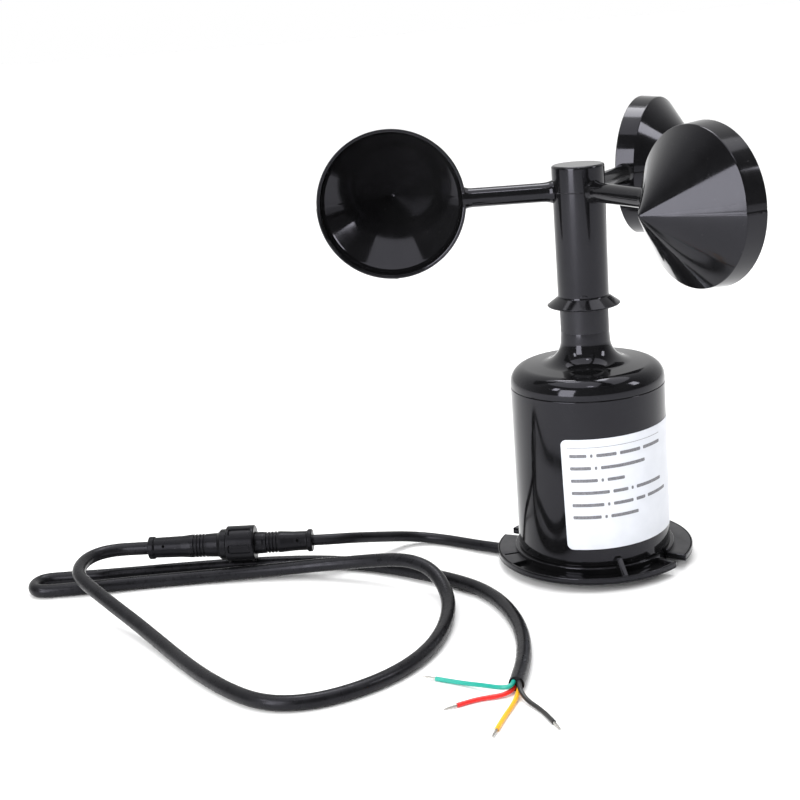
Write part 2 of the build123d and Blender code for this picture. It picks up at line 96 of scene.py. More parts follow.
class Nodes:
    """A small helper for building one material's node tree."""

    def __init__(self, name):
        self.material = bpy.data.materials.new(name)
        self.material.use_nodes = True
        self.tree = self.material.node_tree
        self.shader = self.tree.nodes["Principled BSDF"]
        self.place = self.add("ShaderNodeTexCoord").outputs["Object"]

    def add(self, kind, **values):
        node = self.tree.nodes.new(kind)
        for key, value in values.items():
            setattr(node, key, value)
        return node

    def link(self, source, target):
        self.tree.links.new(source, target)

    def set(self, **values):
        for key, value in values.items():
            self.shader.inputs[key.replace("_", " ")].default_value = value

    def noise(self, scale, detail=3.0, stretch=(1, 1, 1), roughness=0.5, distortion=0.0):
        mapping = self.add("ShaderNodeMapping")
        mapping.inputs["Scale"].default_value = stretch
        self.link(self.place, mapping.inputs["Vector"])
        node = self.add("ShaderNodeTexNoise")
        node.inputs["Scale"].default_value = scale
        node.inputs["Detail"].default_value = detail
        node.inputs["Roughness"].default_value = roughness
        node.inputs["Distortion"].default_value = distortion
        self.link(mapping.outputs["Vector"], node.inputs["Vector"])
        return node.outputs["Fac"]

    def spread(self, source, low, high, start=0.3, end=0.7):
        """A value from low to high as the source goes from start to end."""
        node = self.add("ShaderNodeMapRange")
        for name, value in (("From Min", start), ("From Max", end), ("To Min", low), ("To Max", high)):
            node.inputs[name].default_value = value
        self.link(source, node.inputs["Value"])
        return node.outputs["Result"]

    def mix(self, factor, first, second):
        """A colour between two colours."""
        node = self.add("ShaderNodeMix", data_type="RGBA")
        self.link(factor, node.inputs["Factor"])
        for name, value in (("A", first), ("B", second)):
            socket = [s for s in node.inputs if s.name == name and s.type == "RGBA"][0]
            if isinstance(value, tuple):
                socket.default_value = (*value, 1)
            else:
                self.link(value, socket)
        return [s for s in node.outputs if s.type == "RGBA"][0]

    def bump(self, height, strength, distance=0.0001, after=None):
        node = self.add("ShaderNodeBump")
        node.inputs["Strength"].default_value = strength
        node.inputs["Distance"].default_value = distance
        self.link(height, node.inputs["Height"])
        if after is not None:
            self.link(after, node.inputs["Normal"])
        return node.outputs["Normal"]


def moulded_black(name, colour, rough_low, rough_high, waviness=0.05, grain=0.0, ior=1.35):
    """Black moulded plastic: faint sink waviness, rubbed gloss, a little dust, and fine grain if asked."""
    n = Nodes(name)
    n.set(IOR=ior, Specular_Tint=black_tint)
    haze = n.noise(70, 4, roughness=0.6)
    shade = n.mix(n.spread(haze, 0, 1, 0.35, 0.7), colour, tuple(c * 1.4 + 0.0008 for c in colour))
    dust = n.spread(n.noise(1500, 1.0), 0, 0.22, 0.78, 0.84)
    n.link(n.mix(dust, shade, (0.30, 0.30, 0.31)), n.shader.inputs["Base Color"])
    rub = n.noise(220, 5, (1, 1, 0.35), 0.65, 0.4)
    n.link(n.spread(rub, rough_low, rough_high, 0.3, 0.75), n.shader.inputs["Roughness"])
    normal = n.bump(n.noise(38, 1.5), waviness, 0.0006)
    if grain:
        normal = n.bump(n.noise(2600, 2), grain, 0.00004, normal)
    n.link(normal, n.shader.inputs["Normal"])
    return n.material


def label_film():
    """White printed film with a slight sheen."""
    n = Nodes("label_film")
    n.set(IOR=1.46, Coat_Weight=0.2, Coat_Roughness=0.25, Roughness=0.42)
    paper = n.mix(n.spread(n.noise(160, 3), 0, 1), (0.60, 0.62, 0.67), (0.64, 0.66, 0.71))
    n.link(paper, n.shader.inputs["Base Color"])
    n.link(n.bump(n.noise(900, 2), 0.05, 0.00003), n.shader.inputs["Normal"])
    return n.material


def ink():
    """Dark grey printing ink, a little uneven."""
    n = Nodes("label_ink")
    shade = n.mix(n.spread(n.noise(1500, 2), 0, 1), (0.10, 0.10, 0.11), (0.19, 0.19, 0.21))
    n.link(shade, n.shader.inputs["Base Color"])
    n.set(Roughness=0.5)
    return n.material


def jacket(name, colour, rough=0.36):
    """Cable jacket: satin, slightly mottled, with a faint unevenness."""
    n = Nodes(name)
    n.set(IOR=1.27, Specular_Tint=black_tint)
    shade = n.mix(n.spread(n.noise(120, 4), 0, 1), colour, tuple(c * 1.5 + 0.002 for c in colour))
    n.link(shade, n.shader.inputs["Base Color"])
    n.link(n.spread(n.noise(420, 4), rough - 0.06, rough + 0.1), n.shader.inputs["Roughness"])
    normal = n.bump(n.noise(60, 2), 0.10, 0.0004)
    n.link(n.bump(n.noise(2400, 3), 0.06, 0.00005, normal), n.shader.inputs["Normal"])
    return n.material


def insulation(name, colour):
    """Thin coloured wire insulation."""
    n = Nodes(name)
    n.set(IOR=1.5)
    paler = tuple(min(1, c * 1.12 + 0.004) for c in colour)
    shade = n.mix(n.spread(n.noise(300, 3), 0, 1), colour, paler)
    n.link(shade, n.shader.inputs["Base Color"])
    n.link(n.spread(n.noise(900, 3), 0.3, 0.42), n.shader.inputs["Roughness"])
    n.link(n.bump(n.noise(700, 2), 0.15, 0.00008), n.shader.inputs["Normal"])
    return n.material


def metal(name, colour, rough, stretch=(1, 1, 1), scale=600):
    """Machined or tinned metal."""
    n = Nodes(name)
    n.set(Metallic=1.0)
    shade = n.mix(n.spread(n.noise(scale, 3, stretch), 0, 1), colour, tuple(c * 0.8 for c in colour))
    n.link(shade, n.shader.inputs["Base Color"])
    n.link(n.spread(n.noise(scale * 2, 3, stretch), rough * 0.7, rough * 1.4), n.shader.inputs["Roughness"])
    n.link(n.bump(n.noise(scale * 2, 2, stretch), 0.1, 0.00003), n.shader.inputs["Normal"])
    return n.material


gloss_black = moulded_black("gloss_black", (0.0035, 0.0035, 0.0038), 0.06, 0.12, 0.05)
hub_black = moulded_black("hub_black", (0.004, 0.004, 0.0044), 0.08, 0.15, 0.07)
neck_black = moulded_black("neck_black", (0.010, 0.010, 0.011), 0.34, 0.44, 0.05, 0.2)
lug_black = moulded_black("lug_black", (0.012, 0.012, 0.013), 0.30, 0.40, 0.06, 0.2)
satin_black = moulded_black("satin_black", (0.008, 0.008, 0.009), 0.30, 0.40, 0.05, 0.25)
connector_black = moulded_black("connector_black", (0.003, 0.003, 0.0034), 0.26, 0.36, 0.12, 0.3, 1.22)
# Painted shade: near black and without reflection, this material stands in for the shade inside the sunk
# ejector marks on the connector boots.
pin_mark_painted_shade = moulded_black("pin_mark_painted_shade", (0.001, 0.001, 0.001), 0.7, 0.8, 0.02, 0.0, 1.04)
label_white = label_film()
label_print = ink()
cable_black = jacket("cable_black", (0.004, 0.004, 0.0045), 0.28)
lead_black = jacket("lead_black", (0.004, 0.004, 0.0045), 0.32)
seal_rubber = jacket("seal_rubber", (0.006, 0.006, 0.006), 0.6)
green_wire = insulation("green_wire", (0.0, 0.27, 0.21))
red_wire = insulation("red_wire", (0.60, 0.008, 0.006))
yellow_wire = insulation("yellow_wire", (0.80, 0.38, 0.006))
black_wire = insulation("black_wire", (0.008, 0.008, 0.009))
grey_wire = insulation("grey_wire", (0.35, 0.35, 0.36))
steel = metal("steel", (0.62, 0.62, 0.63), 0.25)
race_steel = metal("race_steel", (0.74, 0.74, 0.75), 0.12)
brass = metal("brass", (0.72, 0.52, 0.24), 0.25)
tinned = metal("tinned", (0.46, 0.45, 0.43), 0.3, (1, 1, 1), 2500)
board_green = insulation("board_green", (0.015, 0.14, 0.06))

# A material for each slot of the CAD record. The pieces inside the body are shown with these.
cad_materials = {
    "black_gloss": gloss_black, "black_satin": satin_black, "black_matte": connector_black,
    "label": label_white, "seal_rubber": seal_rubber, "steel": steel, "bearing_steel": race_steel,
    "cage_steel": steel, "brass": brass, "magnet": steel, "board": board_green, "chip": satin_black,
    "cable_jacket": cable_black, "wire_grey": grey_wire, "wire_green": green_wire, "wire_red": red_wire,
    "wire_yellow": yellow_wire, "wire_black": black_wire, "tinned_copper": tinned,
}
for part in frame["record"]["subparts"]:
    node = frame["nodes"][part["node"]]
    node.data.materials.clear()
    node.data.materials.append(cad_materials[part["material_slot"]])


# ---- mesh builders, in millimetres ----
def rounded(points, radii, steps=5):
    """A closed outline with its corners rounded where a radius is given."""
    out = []
    count = len(points)
    for index, (corner, radius) in enumerate(zip(points, radii)):
        corner = Vector(corner)
        if radius <= 0:
            out.append(tuple(corner))
            continue
        before = Vector(points[index - 1]) - corner
        after = Vector(points[(index + 1) % count]) - corner
        half = before.angle(after) / 2
        reach = min(radius / math.tan(half), 0.45 * before.length, 0.45 * after.length)
        one, two = before.normalized(), after.normalized()
        centre = corner + (one + two).normalized() * (reach / math.cos(half))
        start, end = corner + one * reach - centre, corner + two * reach - centre
        guard = min(0.3 * reach, 0.1 * before.length, 0.1 * after.length)
        out.append(tuple(centre + start + one * guard))
        for step in range(steps + 1):
            out.append(tuple(centre + start.lerp(end, step / steps).normalized() * start.length))
        out.append(tuple(centre + end + two * guard))
    return out


def arc_through(start, middle, end, steps):
    """Points on the circle through three points of the outline."""
    (ax, ay), (bx, by), (cx, cy) = start, middle, end
    d = 2 * (ax * (by - cy) + bx * (cy - ay) + cx * (ay - by))
    ux = ((ax**2 + ay**2) * (by - cy) + (bx**2 + by**2) * (cy - ay) + (cx**2 + cy**2) * (ay - by)) / d
    uy = ((ax**2 + ay**2) * (cx - bx) + (bx**2 + by**2) * (ax - cx) + (cx**2 + cy**2) * (bx - ax)) / d
    radius = math.hypot(ax - ux, ay - uy)
    first = math.atan2(ay - uy, ax - ux)
    turn = (math.atan2(cy - uy, cx - ux) - first + math.pi) % (2 * math.pi) - math.pi
    angles = [first + turn * k / steps for k in range(steps + 1)]
    return [(ux + radius * math.cos(angle), uy + radius * math.sin(angle)) for angle in angles]


def lathe(profile, segments=180):
    """A closed outline of (radius, height) points turned about Z."""
    mesh = bmesh.new()
    turns = [2 * math.pi * k / segments for k in range(segments)]
    rings = []
    for radius, height in profile:
        if radius < 1e-6:
            rings.append([mesh.verts.new((0, 0, height))])
        else:
            ring = [(radius * math.cos(t), radius * math.sin(t), height) for t in turns]
            rings.append([mesh.verts.new(place) for place in ring])
    for low, high in zip(rings, rings[1:] + rings[:1]):
        for k in range(segments):
            m = (k + 1) % segments
            if len(low) == 1 and len(high) == 1:
                break
            if len(low) == 1:
                mesh.faces.new((low[0], high[m], high[k]))
            elif len(high) == 1:
                mesh.faces.new((low[k], low[m], high[0]))
            else:
                mesh.faces.new((low[k], low[m], high[m], high[k]))
    bmesh.ops.recalc_face_normals(mesh, faces=mesh.faces)
    return mesh


def prism(outline, low, high, bevel=0.2, frame_matrix=None):
    """An outline in plan, extruded from low to high, with its edges eased."""
    mesh = bmesh.new()
    under = [mesh.verts.new((x, y, low)) for x, y in outline]
    over = [mesh.verts.new((x, y, high)) for x, y in outline]
    mesh.faces.new(under[::-1])
    mesh.faces.new(over)
    for k in range(len(outline)):
        m = (k + 1) % len(outline)
        mesh.faces.new((under[k], under[m], over[m], over[k]))
    bmesh.ops.recalc_face_normals(mesh, faces=mesh.faces)
    if bevel:
        sharp = [e for e in mesh.edges if e.calc_face_angle(0) > math.radians(28)]
        bmesh.ops.bevel(mesh, geom=sharp, offset=bevel, offset_type="OFFSET", segments=3, profile=0.5,
                        affect="EDGES", clamp_overlap=True)
    if frame_matrix is not None:
        bmesh.ops.transform(mesh, matrix=frame_matrix, verts=mesh.verts)
    return mesh


def tube_along(points, radius, sides=8):
    """A thin closed bead through a list of points."""
    mesh = bmesh.new()
    points = [Vector(p) for p in points]
    turns = [2 * math.pi * k / sides for k in range(sides)]
    rings = []
    for index, point in enumerate(points):
        ahead = (points[min(index + 1, len(points) - 1)] - points[max(index - 1, 0)]).normalized()
        if index == 0:
            side = ahead.orthogonal().normalized()
        else:
            side = (side - ahead * side.dot(ahead)).normalized()
        other = ahead.cross(side)
        ring = [point + radius * (side * math.cos(t) + other * math.sin(t)) for t in turns]
        rings.append([mesh.verts.new(place) for place in ring])
    for low, high in zip(rings, rings[1:]):
        for k in range(sides):
            m = (k + 1) % sides
            mesh.faces.new((low[k], low[m], high[m], high[k]))
    mesh.faces.new(rings[0][::-1])
    mesh.faces.new(rings[-1])
    bmesh.ops.recalc_face_normals(mesh, faces=mesh.faces)
    return mesh


def placed(origin, z_axis, x_axis):
    """A placement matrix from an origin and two axes, in millimetres."""
    z_axis, x_axis = Vector(z_axis).normalized(), Vector(x_axis).normalized()
    matrix = Matrix((x_axis, z_axis.cross(x_axis), z_axis)).transposed().to_4x4()
    matrix.translation = Vector(origin)
    return matrix


def moved(mesh, matrix):
    """The same mesh, placed by a matrix."""
    bmesh.ops.transform(mesh, matrix=matrix, verts=mesh.verts)
    return mesh


def add_object(name, data, materials, body):
    """A new piece of the object, riding on a body."""
    piece = bpy.data.objects.new(name, data)
    bpy.context.scene.collection.objects.link(piece)
    for material in materials if isinstance(materials, list) else [materials]:
        data.materials.append(material)
    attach(piece, body)
    return piece


def add_piece(name, solids, materials, body, replaces=None, pick=None):
    """One object from several closed meshes; pick gives a face's material by its middle."""
    whole = bmesh.new()
    for solid in solids:
        scratch = bpy.data.meshes.new("scratch")
        solid.to_mesh(scratch)
        solid.free()
        whole.from_mesh(scratch)
        bpy.data.meshes.remove(scratch)
    if pick is not None:
        for face in whole.faces:
            face.material_index = pick(face.calc_center_median())
    bmesh.ops.scale(whole, vec=(MM, MM, MM), verts=whole.verts)
    data = bpy.data.meshes.new(name)
    whole.to_mesh(data)
    whole.free()
    for face in data.polygons:
        face.use_smooth = True
    data.set_sharp_from_angle(angle=math.radians(33))
    piece = add_object(name, data, materials, body)
    if replaces:
        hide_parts(replaces)
    return piece


def polar(radius, turn):
    """The (x, y) of a point at a radius and an azimuth in degrees."""
    return radius * math.cos(math.radians(turn)), radius * math.sin(math.radians(turn))


def arc_plan(radius, first, last, step=1.5):
    """Points in plan along an arc, in degrees."""
    count = max(2, round(abs(last - first) / step))
    return [polar(radius, first + (last - first) * k / count) for k in range(count + 1)]


def disc(radius, x=0.0, y=0.0, sides=48):
    """A round outline in plan."""
    angles = [2 * math.pi * k / sides for k in range(sides)]
    return [(x + radius * math.cos(angle), y + radius * math.sin(angle)) for angle in angles]


def stood(mesh, radius, turn):
    """A mesh turned about Z, moved out to a radius at an azimuth in degrees."""
    return moved(mesh, Matrix.Translation((*polar(radius, turn), 0)))


# ---- housing, cover and foot ----
def add_housing():
    """The cylinder round the circuit, with its three screw columns."""
    inside, foot, top, column_top = 29.9, 7.82, 78.78, 30.0
    outline = [(inside, foot), (body_radius, foot), (body_radius, top), (inside, top)]
    solids = [lathe(rounded(outline, [0.2, 0.3, 0.35, 0.2]))]
    column = [(1.45, 7.95), (2.7, 7.95), (2.7, column_top), (0, column_top), (0, 18.0), (1.45, 18.0)]
    for turn in (90, 210, 330):
        solids.append(stood(lathe(column, 40), screw_circle, turn))
        near, far = Vector(polar(27.5, turn)), Vector(polar(31.4, turn))
        side = Vector(polar(1.2, turn + 90))
        web = [tuple(near - side), tuple(far - side), tuple(far + side), tuple(near + side)]
        solids.append(prism(web, 14.4, column_top, 0.15))
    add_piece("housing_shell", solids, gloss_black, "base", "housing")


def cover_outline():
    """The cover's section: dome, dished rise, neck, bearing post and spigot."""
    shoulder = arc_through((body_radius, 80.5), (30.9, 84.95), (26.0, 87.45), 16)
    rise = arc_through((19.5, 87.9), (12.9, 91.15), (10.4, 98.0), 18)
    foot = [(29.7, 78.82), (body_radius, 78.82)]
    neck_and_post = [(neck_radius, 101.5), (neck_radius, 113.3), (7.6, 113.3), (7.6, 147.0)]
    bore = [(5.5, 147.0), (5.5, 141.5), (4.9, 141.5), (4.9, 91.0), (5.5, 91.0), (5.5, 83.0)]
    underside = [(8.6, 83.0), (8.6, 85.4), (26.0, 85.0), (27.6, 83.0)]
    spigot = [(27.6, 72.8), (29.7, 72.8), (29.7, 75.0), (28.4, 75.0), (28.4, 76.6), (29.7, 76.6)]
    eased = [(foot, [0.1, 0.4]), (shoulder + rise, [0] * (len(shoulder) + len(rise))),
             (neck_and_post, [1.5, 0.5, 0.2, 0.3]), (bore + underside + spigot, [0] * 16)]
    points = [point for run, _ in eased for point in run]
    radii = [radius for _, run in eased for radius in run]
    return rounded(points, radii)


def add_cover():
    """Domed cover, neck and bearing post, satin above the moulding line of the neck."""
    solids = [lathe(cover_outline(), 220)]
    pillar = [(1.0, 74.05), (3.0, 74.05), (3.0, 86.0), (0, 86.0), (0, 82.0), (1.0, 82.0)]
    pillar_circle, satin_from, post_clear = 20, 100.6, 7.7
    for turn in (30, 150, 270):
        solids.append(stood(lathe(pillar, 36), pillar_circle, turn))
    add_piece("cover_shell", solids, [gloss_black, neck_black], "base", "top_cover",
              pick=lambda c: 1 if c.z > satin_from and math.hypot(c.x, c.y) > post_clear else 0)


def ring_piece(outer, inner, first, last, low, high, bevel, step=1.5):
    """A stretch of a flat ring between two azimuths, as an extruded piece."""
    return prism(arc_plan(outer, first, last, step) + arc_plan(inner, last, first, step), low, high, bevel)


def add_flange():
    """The foot flange: floor plate, low rim, collar, two lugs, ribs, a moulding slit and the inner spigot."""
    under_collar, lug_top = 32.3, 6.2
    floor_ring = [(22.0, foot_floor), (under_collar, foot_floor), (under_collar, 7.78), (29.7, 7.78)]
    spigot = [(29.7, 14.0), (28.0, 14.0), (28.0, 7.8), (22.0, 7.8)]
    solids = [lathe(rounded(floor_ring + spigot, [0.2, 0, 0, 0, 0.3, 0.3, 0, 0.2]))]
    for first, last in ((-33.0, 142.5), (153.5, 316.0)):
        solids.append(ring_piece(foot_radius, 32.0, first, last, foot_floor, 4.75, 0.25))
        solids.append(ring_piece(foot_radius, 40.9, first, last, 3.7, lug_top, 0.3))
        solids.append(ring_piece(collar_radius, 32.0, first, last, 3.7, 7.8, 0.4))
    for first, last in ((-33.0, 38.0), (136.0, 142.5), (153.5, 187.9), (190.1, 205.0), (313.0, 316.0)):
        solids.append(ring_piece(41.9, 32.2, first, last, 3.6, lug_top, 0.3))
    solids.append(ring_piece(41.9, 40.2, 187.5, 190.5, 3.6, lug_top, 0.1, 0.5))
    rib = [(32.4, 4.5), (41.2, 4.5), (41.2, 6.25), (33.5, 11.4), (32.4, 11.4)]
    for turn in (-80, 100):
        outward = Vector((*polar(1, turn), 0))
        across = Vector((0, 0, 1)).cross(outward)
        rows = Matrix((outward, Vector((0, 0, 1)), -across)).transposed().to_4x4()
        solids.append(prism(rib, -1.2, 1.2, 0.25, rows))
    boss = [(1.45, 5.0), (2.8, 5.0), (2.8, 13.5), (0, 13.5), (0, 12.5), (1.45, 12.5)]
    for turn in (30, 150, 270):
        solids.append(stood(lathe(boss, 36), screw_circle, turn))
    add_piece("foot_flange", solids, [gloss_black, lug_black], "base", "base_flange",
              pick=lambda c: 1 if abs(c.z - lug_top) < 0.05 and math.hypot(c.x, c.y) > 34.3 else 0)


# ---- label: distances along the skin are measured from the azimuth of +X ----
label_pivot = (math.radians(-90) * label_radius, 39.2)
label_lean = 1.2
label_left, label_right = math.radians(-117.9) * label_radius, math.radians(4.9) * label_radius
label_low, label_high, label_corner = 15.6, 63.2, 2.6
# Each row: the height of its middle, and the lengths of its bars.
label_rows = [
    (56.2, [7.0, 1.0, 8.4, 9.6, 10.6]), (50.9, [8.6, 1.0, 20.0]), (45.6, [11.0, 1.0, 7.4]),
    (40.3, [15.6, 6.6, 1.0, 14.6]), (35.0, [13.0, 1.0, 8.8, 4.6, 12.6]), (29.7, [11.6, 1.0, 12.4]),
]


def label_point(along, height, skin):
    """A point on the housing's skin; the sticker leans a little, as it was put on by hand."""
    lean = math.radians(label_lean)
    s, z = along - label_pivot[0], height - label_pivot[1]
    s, z = s * math.cos(lean) - z * math.sin(lean), s * math.sin(lean) + z * math.cos(lean)
    turn = (s + label_pivot[0]) / label_radius
    reach = label_radius + skin
    return reach * math.cos(turn), reach * math.sin(turn), z + label_pivot[1]


def sheet(left, right, low, high, corner, skin, thickness, columns):
    """A rounded rectangle wrapped on the housing, as a thin closed sheet."""
    mesh = bmesh.new()
    corner_steps, bands = 8, 6
    quarter = [math.pi / 2 * k / corner_steps for k in range(corner_steps + 1)]
    places = [left + corner * (1 - math.cos(angle)) for angle in quarter]
    inner = [left + corner + (right - left - 2 * corner) * k / columns for k in range(1, columns)]
    places += inner + [left + right - p for p in reversed(places)]
    tops, unders = [], []
    for along in places:
        gap = min(along - left, right - along)
        drop = corner - math.sqrt(max(0, corner**2 - max(0, corner - gap) ** 2))
        rows = [low + drop + (high - low - 2 * drop) * r / bands for r in range(bands + 1)]
        tops.append([mesh.verts.new(label_point(along, z, skin + thickness)) for z in rows])
        unders.append([mesh.verts.new(label_point(along, z, skin)) for z in rows])
    for a in range(len(places) - 1):
        for r in range(bands):
            mesh.faces.new((tops[a][r], tops[a + 1][r], tops[a + 1][r + 1], tops[a][r + 1]))
            mesh.faces.new((unders[a][r], unders[a][r + 1], unders[a + 1][r + 1], unders[a + 1][r]))
        mesh.faces.new((tops[a][0], unders[a][0], unders[a + 1][0], tops[a + 1][0]))
        mesh.faces.new((tops[a][bands], tops[a + 1][bands], unders[a + 1][bands], unders[a][bands]))
    for a in (0, -1):
        for r in range(bands):
            mesh.faces.new((tops[a][r], tops[a][r + 1], unders[a][r + 1], unders[a][r]))
    bmesh.ops.recalc_face_normals(mesh, faces=mesh.faces)
    return mesh


def add_label():
    """The white sticker, with a thin rule and rows of plain bars where a maker prints its data."""
    film = sheet(label_left, label_right, label_low, label_high, label_corner, 0.0, 0.13, 90)
    add_piece("label_sheet", [film], label_white, "base", "label")
    print_skin, print_thickness, bar_gap, bar_half, column_width = 0.125, 0.03, 1.5, 0.7, 0.5
    bars = []
    for middle, lengths in label_rows:
        place = label_left + 3.4
        for length in lengths:
            columns = max(3, round(length / column_width))
            bars.append(sheet(place, place + length, middle - bar_half, middle + bar_half, 0.4,
                              print_skin, print_thickness, columns))
            place += length + bar_gap
    bars.append(sheet(label_left + 2.6, label_left + 46, 59.6, 59.8, 0.05, print_skin, print_thickness, 100))
    add_piece("label_bars", bars, label_print, "base")


# ---- rotor ----
first_arm_turn = 177.9
arm_level = Vector((0, 0, arm_height))


def arm_axes(index):
    """The outward direction of an arm, and the direction its cup's mouth faces."""
    turn = math.radians(first_arm_turn + 120 * index)
    outward = Vector((math.cos(turn), math.sin(turn), 0))
    return outward, Vector((-outward.y, outward.x, 0))


def add_hub():
    """The rotor's sleeve, with its moulding line at the height of the arms and a little flash on it."""
    skirt = [(8.4, 114.0), (12.1, 114.0), (14.3, 112.3), (14.95, 112.3), (15.2, 112.75), (10.85, 116.0)]
    sleeve = [(10.62, 116.6), (10.74, 150.0)]
    moulding_line = [(10.76, 159.76), (10.98, 159.92), (10.98, 160.06), (10.82, 160.2), (10.84, hub_top)]
    inside = [(0, hub_top), (0, 166.4), (5.0, 166.4), (5.0, 149.5), (8.4, 149.5)]
    radii = [0.2, 0.3, 0.1, 0.15, 0.15, 0.5] + [0.8, 0] + [0, 0.03, 0.03, 0, 1.0] + [0] * 5
    solids = [lathe(rounded(skirt + sleeve + moulding_line + inside, radii), 200)]
    flash_radius, flash_bead = 10.93, 0.13
    for first, last in ((188, 231), (236, 262), (265, 289), (4, 50), (62, 110), (128, 166)):
        flash = []
        for k in range(2 * (last - first) + 1):
            swell = math.sin(0.9 * k) * math.sin(0.37 * k + first)
            height = arm_height + 0.13 * math.sin(0.61 * k + last)
            flash.append((*polar(flash_radius + 0.10 * swell, first + k / 2), height))
        solids.append(tube_along(flash, flash_bead, 6))
    mark_steps = 16
    mark = [(*polar(10.66, -104.0 + k), 117.35 + 0.55 * math.sin(math.pi * k / mark_steps))
            for k in range(mark_steps + 1)]
    solids.append(tube_along(mark, flash_bead))
    add_piece("hub_sleeve", solids, hub_black, "rotor", "rotor_hub")


def add_arm(index):
    """A round arm, thick at its root and flared into its cup, with the moulding line on both sides."""
    outward, ahead = arm_axes(index)
    root = [(0, 6.2), (arm_radius, 6.2), (arm_radius, 9.4), (4.72, 10.3), (4.68, 10.95)]
    rod = [(4.3, 12.1), (4.06, 13.4), (3.96, 15.2), (3.93, 30.0), (arm_radius, 43.8)]
    flare = [(4.04, 45.0), (4.3, 45.9), (4.55, 46.6), (4.6, 47.6), (0, 47.6)]
    radii = [0, 0.2, 0, 0.3, 0.3] + [1.0, 1.0, 1.0, 0, 1.0] + [1.0, 0.5, 0.2, 0, 0]
    stem = lathe(rounded(root + rod + flare, radii), 72)
    solids = [moved(stem, placed(arm_level, outward, (0, 0, 1)))]
    line_start, line_length, line_steps = 11.2, 35.0, 20
    for side in (-1, 1):
        seam = []
        for k in range(line_steps + 1):
            along = line_start + line_length * k / line_steps
            seam.append(arm_level + outward * along + ahead * side * 3.93)
        solids.append(tube_along(seam, 0.11))
    add_piece(f"arm_{index + 1}_round", solids, gloss_black, "rotor", f"rotor_arm_{index + 1}")


def cup_outline():
    """The cup's section: cone, band at the mouth, stepped lip, and the rounded inside."""
    tip = [(0, -28.8), (0.42, -28.72), (0.78, -28.48), (1.12, -28.16)]
    band_and_lip = [(30.0, -4.6), (cup_radius, 3.9), (29.9, 3.9), (29.8, 3.3), (29.3, 3.1)]
    inside = [(29.0, -2.6), (0.7, -26.1), (0, -26.4)]
    radii = [0, 0, 0, 0] + [0.7, 0.3, 0.25, 0.1, 0.3] + [4.0, 0.6, 0]
    return rounded(tip + band_and_lip + inside, radii, 8)


def add_cup(index):
    """A conical cup. Its two mould halves meet on the level through the arm, where they differ a hair."""
    outward, ahead = arm_axes(index)
    shell = lathe(cup_outline(), 360)
    tip_clear, dip_depth, dip_degrees = 1.2, 0.16, 7.0
    for vert in shell.verts:
        reach = math.hypot(vert.co.x, vert.co.y)
        below = -math.degrees(math.atan2(vert.co.y, vert.co.x))
        if reach > tip_clear and below > 0:
            dip = dip_depth * math.exp(-min(below, 180 - below) / dip_degrees) * min(1.0, reach / 12)
            vert.co.x *= 1 - dip / reach
            vert.co.y *= 1 - dip / reach
    frame_matrix = placed(outward * cup_circle + arm_level, ahead, outward)
    solids = [moved(shell, frame_matrix)]
    cone = [(1.4, -27.95), (8.0, -22.44), (15.0, -16.79), (22.0, -11.15), (29.4, -5.15)]
    band = [(30.02, -4.3), (30.68, 3.6)]
    nub_plan = [(-0.45, -0.25), (0.45, -0.25), (0.3, 0.25), (-0.3, 0.25)]
    nub_radius = 30.6
    for side in (1, -1):
        seam = [frame_matrix @ Vector((side * r, 0, z)) for r, z in cone + band]
        solids.append(tube_along(seam, 0.075, 6))
        spot = frame_matrix @ Vector((side * nub_radius, 0, 1.6))
        solids.append(moved(prism(nub_plan, -0.4, 0.3, 0.08), placed(spot, (0, 0, 1), ahead)))
    gate = frame_matrix @ Vector((0, nub_radius, 2.6))
    solids.append(moved(prism(disc(0.8, sides=16), -0.3, 0.28, 0.08), placed(gate, (0, 0, -1), outward)))
    add_piece(f"cup_{index + 1}_shell", solids, gloss_black, "rotor", f"rotor_cup_{index + 1}")


# ---- connector, in its own frame: Z from the sensor's half to the cable's half, X up ----
connector_right = Vector((-122.7, 7.1, 14.6))
connector_left = Vector((-195.5, 13.0, 14.6))
connector_frame = placed(connector_right, connector_left - connector_right, (0, 0, 1))
connector_end = (connector_left - connector_right).length - 0.02
groove_radii = [1.5] + [0.15] * 16


def on_boot(mark):
    """Where an ejector mark sits, and which way it faces; a mark is (azimuth, place along, radius)."""
    angle, place, radius = mark
    outward = Vector((*polar(1, angle), 0))
    return connector_frame @ Vector((*polar(radius, angle), place)), connector_frame.to_3x3() @ outward


def add_boot(name, replaces, points, radii, mark):
    """A lathed boot with a small round ejector mark, which is duller than the rest: a near-black disc without
    reflection, painted shade standing in for the mark's recess.
    """
    shell = lathe(rounded(points, radii, 4), 120)
    spot, outward = on_boot(mark)
    # The ejector mark is a flat disc, painted dark as the shade of a recess, not a real recess.
    recess_shade_disc = moved(prism(disc(0.62, sides=24), -0.3, 0.03, 0), placed(spot, outward, (1, 0, 0.3)))
    return add_piece(name, [moved(shell, connector_frame), recess_shade_disc], [connector_black, pin_mark_painted_shade], "base",
                     replaces, pick=lambda centre: 1 if (centre - spot).length < 0.45 else 0)


def grooved(first_groove, radius, before, after):
    """Outline points of four grooves and the bands between them."""
    pitch, depth, width, slope = 1.5, 0.55, 0.7, 0.12
    points = [(radius, before)]
    for step in range(4):
        low = first_groove + step * pitch
        points += [(radius, low), (radius - depth, low + slope), (radius - depth, low + width - slope),
                   (radius, low + width)]
    return points + [(radius, after)]


